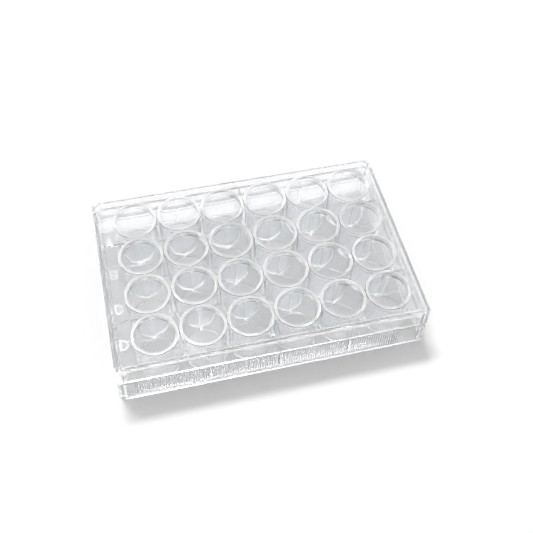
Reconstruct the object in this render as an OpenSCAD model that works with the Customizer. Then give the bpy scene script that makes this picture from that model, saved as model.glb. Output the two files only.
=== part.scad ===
// A 24-well culture plate with its lid: a clear moulded tray of round cups, hung from a deck
// inside a ribbed skirt, under a loose cap that rests on the cups' rims.
// Origin: centre of the footprint, on the surface it stands on. +X runs along the columns
// from 1 to 6, +Y towards row A, +Z up.

/* [Wells] */
// Number of columns
columns = 6; // [3:1:8]
// Number of rows, one letter each
rows = 4; // [2:1:4]
// Inside diameter of a well at its mouth
mouth_d = 16.3; // [10:0.1:24]
// How much narrower a well is at its floor than at its mouth
well_taper = 0.7; // [0:0.1:4]
// Depth of a well, from the rim to its floor
well_depth = 17.4; // [8:0.1:17.6]
// Radius between a well's wall and its floor
floor_r = 0.5; // [0.2:0.1:1.5]
// Thickness of a cup's wall under the deck
cup_t = 1.1; // [0.6:0.1:1.3]
// Thickness of a cup's floor
cup_floor_t = 1.3; // [0.8:0.1:2]
// Width of the flat rim round a mouth
rim_w = 1.35; // [1:0.05:3]
// Gap between the rims of two neighbours
rim_gap = 0.1; // [0.1:0.05:4]
// Width of the bevel on both edges of a rim
rim_bevel = 0.25; // [0.1:0.05:0.4]

/* [Margins] */
// From the foot's left side to the rims of column 1
left_margin = 8.45; // [6.5:0.05:20]
// From the rims of the last column to the foot's right side
right_margin = 4.85; // [4.3:0.05:20]
// From the foot's back to the rims of row A
back_margin = 3.9; // [3.5:0.05:20]
// From the rims of the last row to the foot's front
front_margin = 5.3; // [3.5:0.05:20]

/* [Heights] */
// Top of the rims above the surface
rim_z = 20.1; // [20:0.1:40]
// Height of the rims above the deck
rim_h = 2; // [1:0.1:4]
// Height of the ribbed skirt
skirt_h = 11.2; // [8:0.1:14]

/* [Walls] */
// Thickness of the skirt
skirt_t = 1.7; // [1:0.1:2.2]
// Lean of the skirt's faces, outwards to the foot, in degrees
skirt_lean = 1.6; // [0:0.1:3]
// Height of the lip round the skirt's foot
lip_h = 1.1; // [0.8:0.1:2]
// How far the lip stands out from the skirt
lip_step = 0.4; // [0.2:0.05:0.5]
// Radius of the foot's corners
foot_r = 2.5; // [2.5:0.1:4]
// Radius of the corners inside the walls, and of the wall that stands inside the lid
inner_r = 2; // [1.8:0.1:4]
// Thickness of the ledge on top of the skirt
ledge_t = 1.2; // [0.8:0.1:2]
// Thickness of the wall between the ledge and the deck
wall_t = 1.1; // [0.8:0.1:1.5]
// Thickness of the deck
deck_t = 1.2; // [0.8:0.1:2]
// Thickness of the webs under the deck
web_t = 0.9; // [0.6:0.1:1.4]
// Bottom edge of the webs above the surface
web_z = 1.9; // [1:0.1:6]
// Width of the bevel along the outer edges
edge_bevel = 0.35; // [0.1:0.05:0.5]

/* [Grip] */
// Pitch of the grip ribs
rib_pitch = 1; // [0.8:0.1:3]
// Depth of the grooves between the ribs
groove_depth = 0.3; // [0.1:0.05:0.5]
// Plain stretch left of the ribs, which run along the front
plain_left = 7; // [5:0.5:14]
// Plain stretch right of the ribs
plain_right = 12; // [5:0.5:14]
// Plain stretch between the lip and the ribs
rib_start = 0.3; // [0.1:0.05:2]

/* [Letters] */
// Height of the row letters
letter_h = 4.8; // [4.2:0.1:5]
// Width of the widest letters
letter_w = 3.3; // [2.6:0.1:3.3]
// Width of a letter's strokes
stroke_w = 0.8; // [0.4:0.05:0.8]
// Height of the letters above the deck
letter_relief = 0.3; // [0.2:0.05:0.6]
// From the rims of column 1 to the middle of the letters
letter_gap = 2.6; // [1.8:0.1:4.2]
// Distance from one letter to the next
letter_pitch = 16.7; // [6:0.1:17]
// How far the letters sit, as a set, below the middle of the rows
letter_drop = 5; // [0:0.1:5]

/* [Lid] */
// Thickness of the lid's walls
lid_t = 1.2; // [0.8:0.1:1.5]
// Gap between the lid's skirt and the plate's upper wall
lid_clearance = 0.5; // [0.3:0.05:1]
// Gap between the lid's skirt and the ledge below it
lid_lift = 1; // [0.5:0.1:2]
// Play between the lid and the rims that it rests on
rest_play = 0.1; // [0.05:0.01:0.2]
// Thickness of the lid's raised panel
panel_t = 1.4; // [1:0.1:2]
// Height of the raised panel above the border round it
panel_rise = 0.7; // [0.4:0.1:1]
// Width of the border beside the panel's ends, where the foot of a stacked plate stands
end_border_w = 2.1; // [1.5:0.1:2.6]
// Width of the border along the front and back of the panel
side_border_w = 1.3; // [1:0.1:1.8]
// Lean of the lid's skirt, outwards to its bottom edge, in degrees
lid_lean = 1; // [0:0.1:2]

/* [Hidden] */
$fn = 64;

clear_colour = [0.90, 0.93, 0.95, 0.45];
lid_colour = [0.94, 0.96, 0.98, 0.30];
// Reach of a cut past the face it opens
over = 1;

// The grid of wells
rim_d = mouth_d + 2 * rim_w;
floor_d = mouth_d - well_taper;
pitch = rim_d + rim_gap;
grid_l = (columns - 1) * pitch;
grid_w = (rows - 1) * pitch;
foot_l = left_margin + rim_d + grid_l + right_margin;
foot_w = front_margin + rim_d + grid_w + back_margin;
first_x = left_margin + rim_d / 2 - foot_l / 2;
last_x = first_x + grid_l;
last_y = front_margin + rim_d / 2 - foot_w / 2;
first_y = last_y + grid_w;
floor_z = rim_z - well_depth;
deck_z = rim_z - rim_h;

// The skirt, its ledge, and the wall that stands inside the lid
skirt_l = foot_l - 2 * lip_step;
skirt_w = foot_w - 2 * lip_step;
skirt_r = foot_r - lip_step;
// The leaning faces start inside the lip
skirt_z = lip_h / 2;
skirt_inset = (skirt_h - skirt_z) * tan(skirt_lean);
ledge_l = skirt_l - 2 * skirt_inset;
ledge_w = skirt_w - 2 * skirt_inset;
ledge_r = skirt_r - skirt_inset;
wall_inset = lid_t + lid_clearance;
wall_l = ledge_l - 2 * wall_inset;
wall_w = ledge_w - 2 * wall_inset;

// The lid
lid_z = skirt_h + lid_lift;
panel_z = rim_z + rest_play;
lid_top_z = panel_z + panel_t;
border_z = lid_top_z - panel_rise;
lid_h = border_z - lid_z;
border_inset = lid_h * tan(lid_lean);
border_under_z = min(border_z - lid_t, panel_z);
panel_l = ledge_l - 2 * border_inset - 2 * end_border_w;
panel_w = ledge_w - 2 * border_inset - 2 * side_border_w;

// A block with round corners, whose four faces lean in from its foot
module block(l, w, r, h, lean = 0) {
    inset = h * tan(lean);
    rotate([90, 0, 90])
        translate([0, 0, r - l / 2])
            linear_extrude(l - 2 * r)
                polygon([[-w / 2, 0], [w / 2, 0], [w / 2 - inset, h], [inset - w / 2, h]]);
    rotate([90, 0, 0])
        translate([0, 0, r - w / 2])
            linear_extrude(w - 2 * r)
                polygon([[-l / 2, 0], [l / 2, 0], [l / 2 - inset, h], [inset - l / 2, h]]);
    for (sx = [-1, 1], sy = [-1, 1])
        translate([sx * (l / 2 - r), sy * (w / 2 - r), 0])
            cylinder(h = h, r1 = r, r2 = r - inset);
}

// The same block with a 45 degree bevel round its top
module bevelled_block(l, w, r, h, lean = 0, bevel = edge_bevel) {
    inset = (h - bevel) * tan(lean);
    block(l, w, r, h - bevel, lean);
    translate([0, 0, h - bevel])
        block(l - 2 * inset, w - 2 * inset, r - inset, bevel, 45);
}

// Puts its children at the centre of each well
module at_wells() {
    for (i = [0 : columns - 1], j = [0 : rows - 1])
        translate([first_x + i * pitch, first_y - j * pitch, 0])
            children();
}

// Outer shape of the lip, the skirt, its ledge and the wall up to the deck, all solid
module envelope() {
    bevelled_block(foot_l, foot_w, foot_r, lip_h, 0, lip_step / 2);
    translate([0, 0, skirt_z])
        bevelled_block(skirt_l, skirt_w, skirt_r, skirt_h - skirt_z, skirt_lean);
    translate([0, 0, skirt_h - ledge_t])
        bevelled_block(wall_l, wall_w, inner_r, deck_z - skirt_h + ledge_t);
}

// The hollow under the ledge and the deck
module underside() {
    translate([0, 0, -over])
        block(skirt_l - 2 * skirt_t + 2 * (skirt_z + over) * tan(skirt_lean),
              skirt_w - 2 * skirt_t + 2 * (skirt_z + over) * tan(skirt_lean),
              inner_r, skirt_h - ledge_t + over, skirt_lean);
    translate([0, 0, skirt_h - ledge_t - over])
        block(wall_l - 2 * wall_t, wall_w - 2 * wall_t, inner_r,
              deck_z - deck_t - skirt_h + ledge_t + over);
}

// Outside of one cup: its tapered wall, and its rim above the deck
module cup() {
    floor_out = floor_d / 2 + cup_t;
    mouth_out = mouth_d / 2 + cup_t;
    rotate_extrude()
        polygon([
            [0, floor_z - cup_floor_t], [floor_out - rim_bevel, floor_z - cup_floor_t],
            [floor_out, floor_z - cup_floor_t + rim_bevel], [mouth_out, deck_z - deck_t],
            [rim_d / 2, deck_z - deck_t], [rim_d / 2, rim_z - rim_bevel],
            [rim_d / 2 - rim_bevel, rim_z], [0, rim_z]]);
}

// Inside of one cup, open at the top
module well() {
    rotate_extrude()
        union() {
            polygon([
                [0, floor_z], [floor_d / 2 - floor_r, floor_z],
                [floor_d / 2 - floor_r, floor_z + floor_r], [floor_d / 2, floor_z + floor_r],
                [mouth_d / 2, rim_z - rim_bevel], [mouth_d / 2 + rim_bevel, rim_z],
                [mouth_d / 2 + rim_bevel, rim_z + over], [0, rim_z + over]]);
            translate([floor_d / 2 - floor_r, floor_z + floor_r])
                circle(floor_r);
        }
}

// A thin upright wall from one point to another, from the webs' bottom edge to the deck
module web(x1, y1, x2, y2) {
    translate([min(x1, x2) - (x1 == x2 ? web_t / 2 : 0),
               min(y1, y2) - (y1 == y2 ? web_t / 2 : 0), web_z])
        cube([abs(x2 - x1) + (x1 == x2 ? web_t : 0),
              abs(y2 - y1) + (y1 == y2 ? web_t : 0), deck_z - deck_t / 2 - web_z]);
}

// The webs that tie the cups to each other, and to the skirt every pitch and a half
// along the front and back and every second pitch along the ends
module webs() {
    middle_x = (first_x + last_x) / 2;
    middle_y = (first_y + last_y) / 2;
    front_step = 1.5 * pitch;
    steps = floor(grid_l / 2 / front_step);
    for (j = [0 : rows - 1])
        web(first_x, first_y - j * pitch, last_x, first_y - j * pitch);
    for (i = [0 : columns - 1])
        web(first_x + i * pitch, last_y, first_x + i * pitch, first_y);
    for (k = [-steps : steps]) {
        web(middle_x + k * front_step, -foot_w / 2, middle_x + k * front_step, last_y);
        web(middle_x + k * front_step, first_y, middle_x + k * front_step, foot_w / 2);
    }
    for (y = rows > 2 ? [middle_y - pitch, middle_y + pitch] : [middle_y]) {
        web(-foot_l / 2, y, first_x, y);
        web(last_x, y, foot_l / 2, y);
    }
}

// Grooves between the ribs, cut down the skirt's leaning front face to just above the lip
module grooves() {
    ribs = floor((foot_l - plain_left - plain_right) / rib_pitch);
    start = plain_left - foot_l / 2;
    // The cutter's edge is a zigzag, and the ribs keep the flat land that it leaves
    land = groove_depth / 2;
    low = lip_h + rib_start - skirt_z;
    translate([0, -skirt_w / 2, skirt_z])
        rotate([-skirt_lean, 0, 0])
            translate([0, 0, low])
                linear_extrude(skirt_h - skirt_z + over - low)
                    polygon(concat(
                        [[start, -over]],
                        [for (i = [0 : 2 * ribs]) [start + i * rib_pitch / 2,
                            i % 2 == 0 ? -land : groove_depth]],
                        [[start + ribs * rib_pitch, -over]]));
}

// Half of a ring to the right of its centre
module bow(outer) {
    intersection() {
        difference() {
            circle(outer);
            circle(outer - stroke_w);
        }
        translate([0, -outer])
            square([outer, 2 * outer]);
    }
}

// Left upright of a letter
module stem() {
    translate([-letter_w / 2, -letter_h / 2])
        square([stroke_w, letter_h]);
}

module letter_a() {
    reach = letter_w / 2;
    // How far a leg runs sideways for each millimetre that it climbs
    run = (reach - stroke_w / 2) / letter_h;
    gap = reach - stroke_w / cos(atan(run)) + over * run;
    difference() {
        polygon([[-reach, -letter_h / 2], [-stroke_w / 2, letter_h / 2],
            [stroke_w / 2, letter_h / 2], [reach, -letter_h / 2]]);
        difference() {
            translate([0, -letter_h / 2 - over])
                polygon([[-gap, 0], [0, gap / run], [gap, 0]]);
            translate([-letter_w / 2, -letter_h / 4])
                square([letter_w, stroke_w]);
        }
    }
}

module letter_b() {
    loop_r = (letter_h + stroke_w) / 4;
    bar_l = letter_w - loop_r;
    stem();
    for (s = [-1, 1])
        translate([letter_w / 2 - loop_r, s * (letter_h / 2 - loop_r)]) {
            bow(loop_r);
            for (t = [-1, 1])
                translate([-bar_l, t * (loop_r - stroke_w / 2) - stroke_w / 2])
                    square([bar_l, stroke_w]);
        }
}

module letter_c() {
    bow_r = letter_w / 2;
    // From the letter's middle to the ends of its two bows
    side = letter_h / 2 - bow_r;
    for (s = [-1, 1])
        translate([0, s * side])
            rotate(s * 90)
                bow(bow_r);
    translate([-bow_r, -side])
        square([stroke_w, 2 * side]);
    for (y = [-side, stroke_w / 2])
        translate([bow_r - stroke_w, y])
            square([stroke_w, side - stroke_w / 2]);
}

module letter_d() {
    bow_x = letter_w / 2 - letter_h / 2;
    bar_l = bow_x + letter_w / 2;
    stem();
    translate([bow_x, 0])
        bow(letter_h / 2);
    for (s = [-1, 1])
        translate([-letter_w / 2, s * (letter_h - stroke_w) / 2 - stroke_w / 2])
            square([bar_l, stroke_w]);
}

// The row letters, standing up from the deck along the left margin
module letters() {
    top_y = (first_y + last_y) / 2 - letter_drop + (rows - 1) / 2 * letter_pitch;
    for (j = [0 : rows - 1])
        translate([first_x - rim_d / 2 - letter_gap, top_y - j * letter_pitch, deck_z - deck_t / 2])
            linear_extrude(deck_t / 2 + letter_relief) {
                if (j == 0) letter_a();
                if (j == 1) letter_b();
                if (j == 2) letter_c();
                if (j == 3) letter_d();
            }
}

module plate() {
    color(clear_colour)
        difference() {
            union() {
                difference() {
                    envelope();
                    underside();
                }
                intersection() {
                    envelope();
                    webs();
                }
                at_wells()
                    cup();
                letters();
            }
            at_wells()
                well();
            grooves();
        }
}

module lid() {
    color(lid_colour)
        difference() {
            union() {
                translate([0, 0, lid_z])
                    bevelled_block(ledge_l, ledge_w, ledge_r, lid_h, lid_lean);
                translate([0, 0, border_z - panel_t / 2])
                    bevelled_block(panel_l, panel_w, ledge_r, panel_rise + panel_t / 2);
            }
            translate([0, 0, lid_z - over])
                block(ledge_l - 2 * lid_t + 2 * over * tan(lid_lean),
                      ledge_w - 2 * lid_t + 2 * over * tan(lid_lean),
                      inner_r, border_under_z - lid_z + over, lid_lean);
            translate([0, 0, border_under_z - over])
                block(panel_l - 2 * lid_t, panel_w - 2 * lid_t, inner_r,
                      panel_z - border_under_z + over);
        }
}

plate();
lid();
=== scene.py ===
"""A clear 24-well culture plate under its lid.

Gives the two moulded pieces their clear plastic, and sets up the floor, the studio light and the
camera around them.
"""

import math

import bpy
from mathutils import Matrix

bl_info = {
    "name": "Clear well plate",
    "version": (1, 0, 0),
    "blender": (4, 5, 0),
    "location": "View3D > Sidebar > Well plate",
    "description": "Clear moulded plastic and studio for a culture plate and its lid",
    "category": "Object",
}

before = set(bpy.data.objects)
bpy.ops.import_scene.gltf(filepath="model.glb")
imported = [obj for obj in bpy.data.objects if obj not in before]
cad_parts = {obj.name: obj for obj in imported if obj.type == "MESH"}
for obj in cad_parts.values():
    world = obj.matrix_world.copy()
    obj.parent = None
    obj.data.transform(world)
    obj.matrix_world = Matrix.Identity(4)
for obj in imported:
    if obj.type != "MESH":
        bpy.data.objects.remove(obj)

SURFACE_GROUP = "moulded_surface"
GRAIN_DEPTH = 0.0000005  # height of the fine grain, in metres
GRAIN_SCALE = 2600       # grain cells to the metre
HAZE_SCALE = 55          # hazy patches to the metre
HAZE_START, HAZE_FULL = 0.5, 0.75  # noise at which a patch starts and is all hazy
RIM_BAND = 0.0005        # height of the band that takes in the rims' tops
LETTER_BAND = 0.0001     # reach above and below the letters' faces
FIRST_BOUNCE = 0.5       # parts a diffuse depth of 0 from one of 1
KEY_EDGE = (0.8, 1.2)    # where the key light starts to fade and has faded, as shares of its size
ANY_DEPTH = 1000000      # so large that a vector's third number stops counting
BOUNCES = 32             # light passes many faces of clear plastic before it leaves the plate
CAMERA_FRAME = 36        # width of the camera's frame in millimetres
CAMERA_RANGE = (0.01, 50)  # nearest and farthest that the camera sees, in metres
FLAT = (1, 1, 0)         # keeps X and Y of a vector and drops Z


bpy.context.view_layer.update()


# ---------------------------------------------------------------- settings


class ClearPlasticSettings(bpy.types.PropertyGroup):
    plate_tint: bpy.props.FloatVectorProperty(
        name="Plate tint", description="Colour that the plate's plastic lets through",
        subtype="COLOR", size=3, min=0, max=1, default=(0.985, 0.99, 0.995))
    lid_tint: bpy.props.FloatVectorProperty(
        name="Lid tint", description="Colour that the lid's plastic lets through",
        subtype="COLOR", size=3, min=0, max=1, default=(0.99, 0.993, 0.996))
    ior: bpy.props.FloatProperty(
        name="Refraction", description="Index of refraction of the clear plastic",
        min=1, max=2, default=1.58)
    polish: bpy.props.FloatProperty(
        name="Polish", description="Roughness of the polished faces",
        subtype="FACTOR", min=0, max=1, default=0.015)
    haze: bpy.props.FloatProperty(
        name="Haze", description="Roughness where the plastic is hazy or has been handled",
        subtype="FACTOR", min=0, max=1, default=0.09)
    wave_size: bpy.props.FloatProperty(
        name="Wave size", description="Size of the slow waves in a moulded face",
        subtype="DISTANCE", unit="LENGTH", min=0.001, max=0.1, default=0.012)
    wave_depth: bpy.props.FloatProperty(
        name="Wave depth", description="Height of the slow waves in a moulded face",
        subtype="DISTANCE", unit="LENGTH", min=0, max=0.001, default=0.000012)
    frost: bpy.props.FloatProperty(
        name="Frost", description="Roughness of the rims' tops and of the letters' faces",
        subtype="FACTOR", min=0, max=1, default=0.3)
    rib_haze: bpy.props.FloatProperty(
        name="Rib haze", description="Roughness of the ribbed front of the skirt",
        subtype="FACTOR", min=0, max=1, default=0.12)
    rib_place: bpy.props.FloatVectorProperty(
        name="Rib place",
        description="Distances behind the middle of the plate between which the ribs lie",
        subtype="XYZ_LENGTH", unit="LENGTH", size=2, precision=5, default=(-0.0424, -0.0416))
    # Painted highlight: white diffuse added on the rims' tops so that they look bright, beside the
    # clear plastic
    rim_painted_highlight: bpy.props.FloatProperty(
        name="Rim white",
        description="Share of light that the rims' tops scatter beside what they let through",
        subtype="FACTOR", min=0, max=1, default=0.36)
    # Painted highlight: white diffuse added on the letters' faces so that they look lighter than
    # the deck
    letter_painted_highlight: bpy.props.FloatProperty(
        name="Letter white",
        description="Share of light that the letters scatter beside what they let through",
        subtype="FACTOR", min=0, max=1, default=0.65)
    # Painted light: white diffuse added on the cups' walls so that they look brighter than the
    # floor seen through them
    cup_painted_light: bpy.props.FloatProperty(
        name="Cup white",
        description="Share of light that the cups' walls scatter beside what they let through",
        subtype="FACTOR", min=0, max=1, default=0.08)
    cup_radius: bpy.props.FloatVectorProperty(
        name="Cup radius", description="Distances from a well's middle between which its wall lies",
        subtype="XYZ_LENGTH", unit="LENGTH", size=2, precision=5, default=(0.0076, 0.0093))
    well_pitch: bpy.props.FloatProperty(
        name="Well pitch", description="Distance from one well's middle to the next",
        subtype="DISTANCE", unit="LENGTH", min=0.005, max=0.05, precision=5, default=0.0191)
    well_start: bpy.props.FloatVectorProperty(
        name="Well start", description="Middle of the first well",
        subtype="XYZ_LENGTH", unit="LENGTH", size=2, precision=5, default=(-0.04595, 0.02935))
    well_count: bpy.props.IntVectorProperty(
        name="Well count", description="Number of columns and rows of wells",
        size=2, min=1, max=12, default=(6, 4))
    rim_height: bpy.props.FloatProperty(
        name="Rim height",
        description="Height above the floor at which the rims' frosted tops start",
        subtype="DISTANCE", unit="LENGTH", min=0, max=0.1, precision=5, default=0.02)
    letter_height: bpy.props.FloatProperty(
        name="Letter height", description="Height above the floor of the letters' frosted faces",
        subtype="DISTANCE", unit="LENGTH", min=0, max=0.1, precision=5, default=0.0184)


class StudioSettings(bpy.types.PropertyGroup):
    floor_colour: bpy.props.FloatVectorProperty(
        name="Floor colour", description="Colour of the floor",
        subtype="COLOR", size=3, min=0, max=1, default=(0.9, 0.9, 0.9))
    floor_size: bpy.props.FloatProperty(
        name="Floor size", description="Side of the square floor",
        subtype="DISTANCE", unit="LENGTH", min=0.5, max=20, default=6)
    floor_gap: bpy.props.FloatProperty(
        name="Floor gap",
        description="Air gap between the plate's foot and the floor, through which light reaches "
        "the floor below the foot",
        subtype="DISTANCE", unit="LENGTH", min=0, max=0.001, precision=5, default=0.0001)
    # Painted light: the floor glows white in what the plastic shows, which lightens its shade under
    # the plate
    floor_glow: bpy.props.FloatProperty(
        name="Floor glow",
        description="Share of white that the plastic shows in the floor beside its lit colour",
        subtype="FACTOR", min=0, max=1, default=0.065)
    sweep: bpy.props.FloatVectorProperty(
        name="Sweep",
        description="Distances from the plate at which the floor starts to fade to white and is "
        "all white",
        subtype="XYZ_LENGTH", unit="LENGTH", size=2, min=0.1, max=5, default=(0.2, 0.5))
    ceiling_edge: bpy.props.FloatVectorProperty(
        name="Ceiling edge",
        description="Sines of the heights at which the ceiling starts and is at its full "
        "brightness",
        size=2, min=0, max=1, default=(0.87, 0.93))
    room_light: bpy.props.FloatProperty(
        name="Room light", description="Strength of the light that falls on things from the walls",
        min=0, max=5, default=0.42)
    ceiling_light: bpy.props.FloatProperty(
        name="Ceiling light",
        description="Strength of the light that falls on things from the ceiling",
        min=0, max=10, default=1.6)
    room_white: bpy.props.FloatProperty(
        name="Room white", description="Brightness of the walls that the plastic mirrors and bends",
        min=0, max=5, default=0.97)
    ceiling_white: bpy.props.FloatProperty(
        name="Ceiling white",
        description="Brightness of the ceiling that the plastic mirrors and bends",
        min=0, max=10, default=2.6)
    key_turn: bpy.props.FloatVectorProperty(
        name="Key turn", description="Turn of the key light away from straight above",
        subtype="EULER", unit="ROTATION", size=3,
        default=tuple(math.radians(a) for a in (-29, 0, 12)))
    gleam_turn: bpy.props.FloatVectorProperty(
        name="Gleam turn",
        description="Turn away from straight above of the key light that shows in the plastic, "
        "so that the lid mirrors no more than its edge",
        subtype="EULER", unit="ROTATION", size=3,
        default=tuple(math.radians(a) for a in (-20, 0, 12)))
    key_size: bpy.props.FloatVectorProperty(
        name="Key size",
        description="Half the width and depth of the key light, seen from one metre away",
        subtype="XYZ_LENGTH", unit="LENGTH", size=2, min=0.01, max=1, default=(0.2, 0.08))
    key_light: bpy.props.FloatProperty(
        name="Key light", description="Strength of the key light that falls on things",
        min=0, max=500, default=36)
    key_white: bpy.props.FloatProperty(
        name="Key white",
        description="Brightness of the key light that the plastic mirrors and bends",
        min=0, max=500, default=7)
    camera_place: bpy.props.FloatVectorProperty(
        name="Camera place", description="Where the camera stands",
        subtype="TRANSLATION", unit="LENGTH", size=3, precision=6,
        default=(-0.044031, -0.18113, 0.280948))
    camera_turn: bpy.props.FloatVectorProperty(
        name="Camera turn", description="The camera's turn about X, Y and Z",
        subtype="EULER", unit="ROTATION", size=3, precision=6,
        default=tuple(math.radians(a) for a in (34.8291, -1.3575, -13.3302)))
    lens: bpy.props.FloatProperty(
        name="Lens", description="Focal length in millimetres on a 36 mm frame",
        min=10, max=200, default=51.957)


# ---------------------------------------------------------------- node helpers


def add_node(tree, kind, place, **values):
    """A new node of this kind, with its settings and inputs set by name."""
    node = tree.nodes.new(kind)
    node.location = place
    for key, value in values.items():
        if key in node.inputs:
            node.inputs[key].default_value = value
        else:
            setattr(node, key, value)
    return node


def set_input(node, name, value):
    """Sets one input of a node by its name or number."""
    node.inputs[name].default_value = value


def join(tree, source, target):
    """Links an output to an input."""
    tree.links.new(source, target)


def new_group(name, inputs, outputs):
    """An empty shader node group with these sockets, and its two end nodes."""
    tree = bpy.data.node_groups.new(name, "ShaderNodeTree")
    for socket_name, kind, default in inputs:
        socket = tree.interface.new_socket(socket_name, in_out="INPUT", socket_type=kind)
        if default is not None:
            socket.default_value = default
    for socket_name, kind in outputs:
        tree.interface.new_socket(socket_name, in_out="OUTPUT", socket_type=kind)
    start = tree.nodes.new("NodeGroupInput")
    end = tree.nodes.new("NodeGroupOutput")
    start.location, end.location = (-900, 0), (700, 0)
    return tree, start, end


def moulded_surface_group():
    """Slow waves and fine grain of a moulded face: a height for bump, and a mask of hazy places."""
    tree, start, end = new_group(
        SURFACE_GROUP,
        [("Position", "NodeSocketVector", None), ("Wave Size", "NodeSocketFloat", 0.012),
         ("Wave Depth", "NodeSocketFloat", 0.00001), ("Grain Depth", "NodeSocketFloat", 0.000001)],
        [("Height", "NodeSocketFloat"), ("Haze", "NodeSocketFloat")])
    per_metre = add_node(tree, "ShaderNodeMath", (-700, 200), operation="DIVIDE")
    set_input(per_metre, 0, 1)
    join(tree, start.outputs["Wave Size"], per_metre.inputs[1])
    waves = add_node(tree, "ShaderNodeTexNoise", (-450, 250), Detail=1.5, Roughness=0.4)
    join(tree, start.outputs["Position"], waves.inputs["Vector"])
    join(tree, per_metre.outputs[0], waves.inputs["Scale"])
    grain = add_node(tree, "ShaderNodeTexNoise", (-450, -50), Scale=GRAIN_SCALE, Detail=2)
    join(tree, start.outputs["Position"], grain.inputs["Vector"])
    wave_height = add_node(tree, "ShaderNodeMath", (-200, 250), operation="MULTIPLY")
    join(tree, waves.outputs["Fac"], wave_height.inputs[0])
    join(tree, start.outputs["Wave Depth"], wave_height.inputs[1])
    height = add_node(tree, "ShaderNodeMath", (50, 150), operation="MULTIPLY_ADD")
    join(tree, grain.outputs["Fac"], height.inputs[0])
    join(tree, start.outputs["Grain Depth"], height.inputs[1])
    join(tree, wave_height.outputs[0], height.inputs[2])
    join(tree, height.outputs[0], end.inputs["Height"])
    patches = add_node(
        tree, "ShaderNodeTexNoise", (-450, -350), Scale=HAZE_SCALE, Detail=4, Roughness=0.6)
    join(tree, start.outputs["Position"], patches.inputs["Vector"])
    spread = add_node(tree, "ShaderNodeMapRange", (-200, -350))
    set_input(spread, "From Min", HAZE_START)
    set_input(spread, "From Max", HAZE_FULL)
    join(tree, patches.outputs["Fac"], spread.inputs["Value"])
    join(tree, spread.outputs["Result"], end.inputs["Haze"])
    return tree


def vector_step(tree, place, operation, source, value):
    """A vector worked with a fixed one."""
    node = add_node(tree, "ShaderNodeVectorMath", place, operation=operation)
    join(tree, source, node.inputs[0])
    set_input(node, 1, value)
    return node.outputs[0]


def well_distance(tree, position, settings):
    """How far a point lies from the upright line through the middle of the nearest well."""
    columns, rows = settings.well_count
    pitch = settings.well_pitch
    point = vector_step(tree, (-1500, -600), "SUBTRACT", position, (*settings.well_start, 0))
    # The nearest well is found in whole pitches, and kept within the grid
    well = point
    for i, (operation, value) in enumerate((
            ("ADD", (pitch / 2, pitch / 2, 0)),
            ("SNAP", (pitch, pitch, 1)),
            ("MAXIMUM", (0, -(rows - 1) * pitch, 0)),
            ("MINIMUM", ((columns - 1) * pitch, 0, 0)),
            ("MULTIPLY", FLAT))):
        well = vector_step(tree, (-1350 + 150 * i, -600), operation, well, value)
    away = add_node(tree, "ShaderNodeVectorMath", (-550, -700), operation="DISTANCE")
    join(tree, vector_step(tree, (-900, -800), "MULTIPLY", point, FLAT), away.inputs[0])
    join(tree, well, away.inputs[1])
    return away.outputs["Value"]


def band_sums(tree, position, bands, settings):
    """The roughness and the white share, which paints light, from bands, each (measure, from, to,
    roughness, white).

    The measure is an axis, or R for the distance from the nearest well's middle.
    """
    split = add_node(tree, "ShaderNodeSeparateXYZ", (-550, -300))
    join(tree, position, split.inputs[0])
    measures = {
        "Y": split.outputs["Y"],
        "Z": split.outputs["Z"],
        "R": well_distance(tree, position, settings),
    }
    sums = [None, None]
    for i, (measure, low, high, *shares) in enumerate(bands):
        band = add_node(tree, "ShaderNodeMath", (-400, -300 - 150 * i), operation="COMPARE")
        join(tree, measures[measure], band.inputs[0])
        set_input(band, 1, (low + high) / 2)
        set_input(band, 2, (high - low) / 2)
        for k, share in enumerate(shares):
            added = add_node(
                tree, "ShaderNodeMath", (-200 + 100 * k, -300 - 150 * i), operation="MULTIPLY_ADD")
            join(tree, band.outputs[0], added.inputs[0])
            set_input(added, 1, share)
            set_input(added, 2, 0)
            if sums[k]:
                join(tree, sums[k], added.inputs[2])
            sums[k] = added.outputs[0]
    return sums


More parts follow.
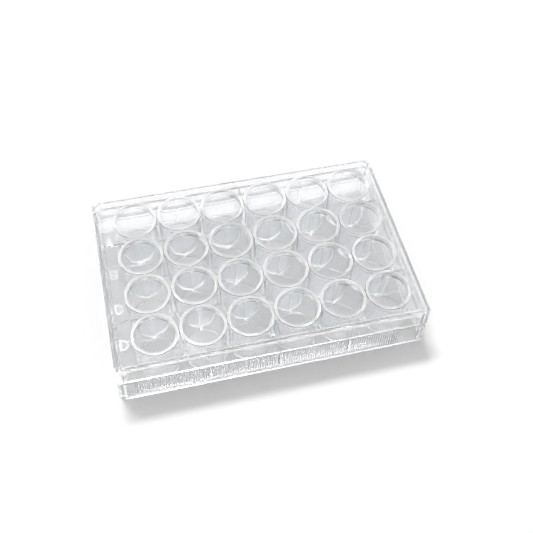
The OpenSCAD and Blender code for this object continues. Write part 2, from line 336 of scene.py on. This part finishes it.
def clear_plastic(name, tint, settings, group, bands):
    """Clear moulded plastic with faint hazy patches, frosted in these bands, where added white
    diffuse paints highlights and light.
    """
    material = bpy.data.materials.new(name)
    material.use_nodes = True
    tree = material.node_tree
    tree.nodes.clear()
    output = add_node(tree, "ShaderNodeOutputMaterial", (900, 0))
    plastic = add_node(tree, "ShaderNodeBsdfPrincipled", (300, 0))
    set_input(plastic, "Base Color", (*tint, 1))
    set_input(plastic, "Metallic", 0)
    set_input(plastic, "IOR", settings.ior)
    set_input(plastic, "Transmission Weight", 1)
    place = add_node(tree, "ShaderNodeTexCoord", (-800, 0))
    surface = add_node(tree, "ShaderNodeGroup", (-550, 0), node_tree=group)
    set_input(surface, "Wave Size", settings.wave_size)
    set_input(surface, "Wave Depth", settings.wave_depth)
    set_input(surface, "Grain Depth", GRAIN_DEPTH)
    join(tree, place.outputs["Object"], surface.inputs["Position"])
    rough = add_node(tree, "ShaderNodeMapRange", (-250, -100))
    set_input(rough, "To Min", settings.polish)
    set_input(rough, "To Max", settings.haze)
    join(tree, surface.outputs["Haze"], rough.inputs["Value"])
    bump = add_node(tree, "ShaderNodeBump", (-50, -300), Strength=1, Distance=1)
    join(tree, surface.outputs["Height"], bump.inputs["Height"])
    join(tree, bump.outputs["Normal"], plastic.inputs["Normal"])
    if not bands:
        join(tree, rough.outputs["Result"], plastic.inputs["Roughness"])
        join(tree, plastic.outputs["BSDF"], output.inputs["Surface"])
        return material
    frost, white = band_sums(tree, place.outputs["Object"], bands, settings)
    frosted = add_node(tree, "ShaderNodeMath", (50, -100), operation="MAXIMUM")
    join(tree, rough.outputs["Result"], frosted.inputs[0])
    join(tree, frost, frosted.inputs[1])
    join(tree, frosted.outputs[0], plastic.inputs["Roughness"])
    # Painted highlight and light: white diffuse, lit by the lamps, added on top of the clear
    # plastic in the bands
    scatter = add_node(tree, "ShaderNodeBsdfDiffuse", (300, -550))
    join(tree, white, scatter.inputs["Color"])
    both = add_node(tree, "ShaderNodeAddShader", (650, 0))
    join(tree, plastic.outputs["BSDF"], both.inputs[0])
    join(tree, scatter.outputs["BSDF"], both.inputs[1])
    join(tree, both.outputs["Shader"], output.inputs["Surface"])
    return material


def seen_mask(tree, place):
    """Two masks: 1 for what shows in the clear plastic, and 1 for what the camera sees straight.

    Both are 0 for light that falls on things.
    """
    rays = add_node(tree, "ShaderNodeLightPath", place)
    clear = add_node(tree, "ShaderNodeMath", (place[0] + 200, place[1]), operation="MAXIMUM")
    join(tree, rays.outputs["Is Glossy Ray"], clear.inputs[0])
    join(tree, rays.outputs["Is Transmission Ray"], clear.inputs[1])
    unlit = add_node(
        tree, "ShaderNodeMath", (place[0] + 200, place[1] - 200), operation="LESS_THAN")
    join(tree, rays.outputs["Diffuse Depth"], unlit.inputs[0])
    set_input(unlit, 1, FIRST_BOUNCE)
    both = add_node(tree, "ShaderNodeMath", (place[0] + 400, place[1]), operation="MULTIPLY")
    join(tree, clear.outputs[0], both.inputs[0])
    join(tree, unlit.outputs[0], both.inputs[1])
    return both.outputs[0], rays.outputs["Is Camera Ray"]


def give_material(obj, material):
    """Makes this the object's only material."""
    obj.data.materials.clear()
    obj.data.materials.append(material)


def shared_surface():
    """The group for moulded faces, made when it is first asked for."""
    return bpy.data.node_groups.get(SURFACE_GROUP) or moulded_surface_group()


# ---------------------------------------------------------------- operators


class WELLPLATE_OT_plate(bpy.types.Operator):
    """Gives the moulded tray of wells its clear plastic"""
    bl_idname = "wellplate.plate"
    bl_label = "Finish the plate"
    bl_options = {"REGISTER", "UNDO"}

    def execute(self, context):
        settings = context.scene.clear_plastic
        rim, letter = settings.rim_height, settings.letter_height
        # The white shares paint highlights on the rims' tops and the letters, and light on the
        # cups' walls
        bands = [
            ("Z", rim, rim + RIM_BAND, settings.frost, settings.rim_painted_highlight),
            ("Z", letter - LETTER_BAND, letter + LETTER_BAND, settings.frost,
             settings.letter_painted_highlight),
            ("Y", *settings.rib_place, settings.rib_haze, 0),
            ("R", *settings.cup_radius, 0, settings.cup_painted_light),
        ]
        material = clear_plastic(
            "clear_plate", settings.plate_tint, settings, shared_surface(), bands)
        give_material(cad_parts["plate"], material)
        return {"FINISHED"}


class WELLPLATE_OT_lid(bpy.types.Operator):
    """Gives the lid its clear plastic"""
    bl_idname = "wellplate.lid"
    bl_label = "Finish the lid"
    bl_options = {"REGISTER", "UNDO"}

    def execute(self, context):
        settings = context.scene.clear_plastic
        material = clear_plastic("clear_lid", settings.lid_tint, settings, shared_surface(), [])
        give_material(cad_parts["lid"], material)
        return {"FINISHED"}


class WELLPLATE_OT_stage(bpy.types.Operator):
    """Adds the floor, the studio light and the camera"""
    bl_idname = "wellplate.stage"
    bl_label = "Set up the studio"
    bl_options = {"REGISTER", "UNDO"}

    def floor(self, settings):
        """A floor that fades to white away from the plate, and glows a little in the plastic, which
        is painted light that lightens its shade seen through the plate.
        """
        bpy.ops.object.select_all(action="DESELECT")
        bpy.ops.mesh.primitive_plane_add(
            size=settings.floor_size, location=(0, 0, -settings.floor_gap))
        floor = bpy.context.object
        floor.name = "floor"
        material = bpy.data.materials.new("floor_white")
        material.use_nodes = True
        tree = material.node_tree
        tree.nodes.clear()
        output = add_node(tree, "ShaderNodeOutputMaterial", (900, 0))
        clear, straight = seen_mask(tree, (-900, -100))
        seen = add_node(tree, "ShaderNodeMath", (-300, -150), operation="MAXIMUM")
        join(tree, clear, seen.inputs[0])
        join(tree, straight, seen.inputs[1])
        lit = add_node(tree, "ShaderNodeBsdfDiffuse", (200, 100))
        set_input(lit, "Color", (*settings.floor_colour, 1))
        # Painted light: emission seen only in the plastic, lightening the floor's shade there
        glow = add_node(tree, "ShaderNodeEmission", (200, -100))
        share = add_node(tree, "ShaderNodeMath", (0, -100), operation="MULTIPLY")
        set_input(share, 1, settings.floor_glow)
        join(tree, clear, share.inputs[0])
        join(tree, share.outputs[0], glow.inputs["Strength"])
        both = add_node(tree, "ShaderNodeAddShader", (500, 0))
        join(tree, lit.outputs[0], both.inputs[0])
        join(tree, glow.outputs[0], both.inputs[1])
        place = add_node(tree, "ShaderNodeTexCoord", (-900, -400))
        away = add_node(tree, "ShaderNodeVectorMath", (-700, -400), operation="LENGTH")
        join(tree, place.outputs["Object"], away.inputs[0])
        fade = add_node(tree, "ShaderNodeMapRange", (-500, -400), interpolation_type="SMOOTHSTEP")
        set_input(fade, "From Min", settings.sweep[0])
        set_input(fade, "From Max", settings.sweep[1])
        join(tree, away.outputs["Value"], fade.inputs["Value"])
        sweep = add_node(tree, "ShaderNodeMath", (-100, -400), operation="MULTIPLY")
        join(tree, fade.outputs["Result"], sweep.inputs[0])
        join(tree, seen.outputs[0], sweep.inputs[1])
        white = add_node(tree, "ShaderNodeEmission", (200, -400), Strength=1)
        surface = add_node(tree, "ShaderNodeMixShader", (700, 0))
        join(tree, sweep.outputs[0], surface.inputs["Fac"])
        join(tree, both.outputs[0], surface.inputs[1])
        join(tree, white.outputs[0], surface.inputs[2])
        join(tree, surface.outputs[0], output.inputs["Surface"])
        give_material(floor, material)

    def world(self, settings):
        """A white room with a ceiling and a key light.

        Each has one strength for the light that falls on things and another for what shows in the
        plastic.
        """
        world = bpy.data.worlds.new("white_room")
        bpy.context.scene.world = world
        world.use_nodes = True
        tree = world.node_tree
        tree.nodes.clear()
        output = add_node(tree, "ShaderNodeOutputWorld", (1100, 0))
        place = add_node(tree, "ShaderNodeTexCoord", (-900, -300))
        split = add_node(tree, "ShaderNodeSeparateXYZ", (-700, -300))
        join(tree, place.outputs["Generated"], split.inputs[0])

        def ramp(at, source, start, end, low, high):
            """Goes from low to high while the source goes from start to end."""
            node = add_node(tree, "ShaderNodeMapRange", at, interpolation_type="SMOOTHSTEP")
            for name, value in (
                    ("From Min", start), ("From Max", end), ("To Min", low), ("To Max", high)):
                set_input(node, name, value)
            join(tree, source, node.inputs["Value"])
            return node.outputs["Result"]

        def room(y, walls, ceiling, key, turn):
            """The room at one set of strengths, with its key light turned this way."""
            turned = add_node(
                tree, "ShaderNodeVectorRotate", (-700, y), rotation_type="EULER_XYZ", invert=True)
            set_input(turned, "Rotation", turn)
            join(tree, place.outputs["Generated"], turned.inputs["Vector"])
            scaled = add_node(tree, "ShaderNodeVectorMath", (-500, y), operation="DIVIDE")
            set_input(scaled, 1, (*settings.key_size, ANY_DEPTH))
            join(tree, turned.outputs[0], scaled.inputs[0])
            away = add_node(tree, "ShaderNodeVectorMath", (-300, y), operation="LENGTH")
            join(tree, scaled.outputs[0], away.inputs[0])
            above = ramp(
                (-100, y - 150), split.outputs["Z"], *settings.ceiling_edge, walls, ceiling)
            patch = ramp((-100, y), away.outputs["Value"], *KEY_EDGE, key, 0)
            both = add_node(tree, "ShaderNodeMath", (150, y), operation="ADD")
            join(tree, above, both.inputs[0])
            join(tree, patch, both.inputs[1])
            light = add_node(tree, "ShaderNodeBackground", (350, y), Color=(1, 1, 1, 1))
            join(tree, both.outputs[0], light.inputs["Strength"])
            return light.outputs[0]

        lit = room(400, settings.room_light, settings.ceiling_light,
                   settings.key_light, settings.key_turn)
        shown = room(-100, settings.room_white, settings.ceiling_white,
                     settings.key_white, settings.gleam_turn)
        white = add_node(tree, "ShaderNodeBackground", (600, -300), Strength=1, Color=(1, 1, 1, 1))
        clear, straight = seen_mask(tree, (0, 700))
        first = add_node(tree, "ShaderNodeMixShader", (700, 100))
        join(tree, clear, first.inputs["Fac"])
        join(tree, lit, first.inputs[1])
        join(tree, shown, first.inputs[2])
        second = add_node(tree, "ShaderNodeMixShader", (900, 0))
        join(tree, straight, second.inputs["Fac"])
        join(tree, first.outputs[0], second.inputs[1])
        join(tree, white.outputs[0], second.inputs[2])
        join(tree, second.outputs[0], output.inputs["Surface"])

    def camera(self, settings):
        """The camera that the picture is taken with."""
        data = bpy.data.cameras.new("camera")
        data.sensor_width = CAMERA_FRAME
        data.lens = settings.lens
        data.clip_start, data.clip_end = CAMERA_RANGE
        camera = bpy.data.objects.new("camera", data)
        camera.location = settings.camera_place
        camera.rotation_euler = settings.camera_turn
        bpy.context.scene.collection.objects.link(camera)
        bpy.context.scene.camera = camera

    def execute(self, context):
        settings = context.scene.studio
        self.floor(settings)
        self.world(settings)
        self.camera(settings)
        context.scene.view_settings.view_transform = "Standard"
        cycles = context.scene.cycles
        cycles.max_bounces = BOUNCES
        cycles.transmission_bounces = BOUNCES
        cycles.glossy_bounces = BOUNCES
        cycles.caustics_refractive = True
        cycles.caustics_reflective = True
        cycles.blur_glossy = 0.3
        cycles.sample_clamp_indirect = 0
        return {"FINISHED"}


class WELLPLATE_PT_panel(bpy.types.Panel):
    """Lists the sizes and colours, and the steps that make the picture"""
    bl_idname = "WELLPLATE_PT_panel"
    bl_label = "Well plate"
    bl_space_type = "VIEW_3D"
    bl_region_type = "UI"
    bl_category = "Well plate"

    def draw(self, context):
        layout = self.layout
        for group in (context.scene.clear_plastic, context.scene.studio):
            column = layout.column(align=True)
            for name in group.bl_rna.properties.keys():
                if name not in ("rna_type", "name"):
                    column.prop(group, name)
        for operator in OPERATORS:
            layout.operator(operator.bl_idname)


OPERATORS = (WELLPLATE_OT_plate, WELLPLATE_OT_lid, WELLPLATE_OT_stage)
CLASSES = (ClearPlasticSettings, StudioSettings, *OPERATORS, WELLPLATE_PT_panel)


def register():
    for cls in CLASSES:
        bpy.utils.register_class(cls)
    bpy.types.Scene.clear_plastic = bpy.props.PointerProperty(type=ClearPlasticSettings)
    bpy.types.Scene.studio = bpy.props.PointerProperty(type=StudioSettings)


def unregister():
    del bpy.types.Scene.studio
    del bpy.types.Scene.clear_plastic
    for cls in reversed(CLASSES):
        bpy.utils.unregister_class(cls)


def main():
    register()
    bpy.ops.wellplate.plate()
    bpy.ops.wellplate.lid()
    bpy.ops.wellplate.stage()
    bpy.context.view_layer.update()


if __name__ == "__main__":
    main()
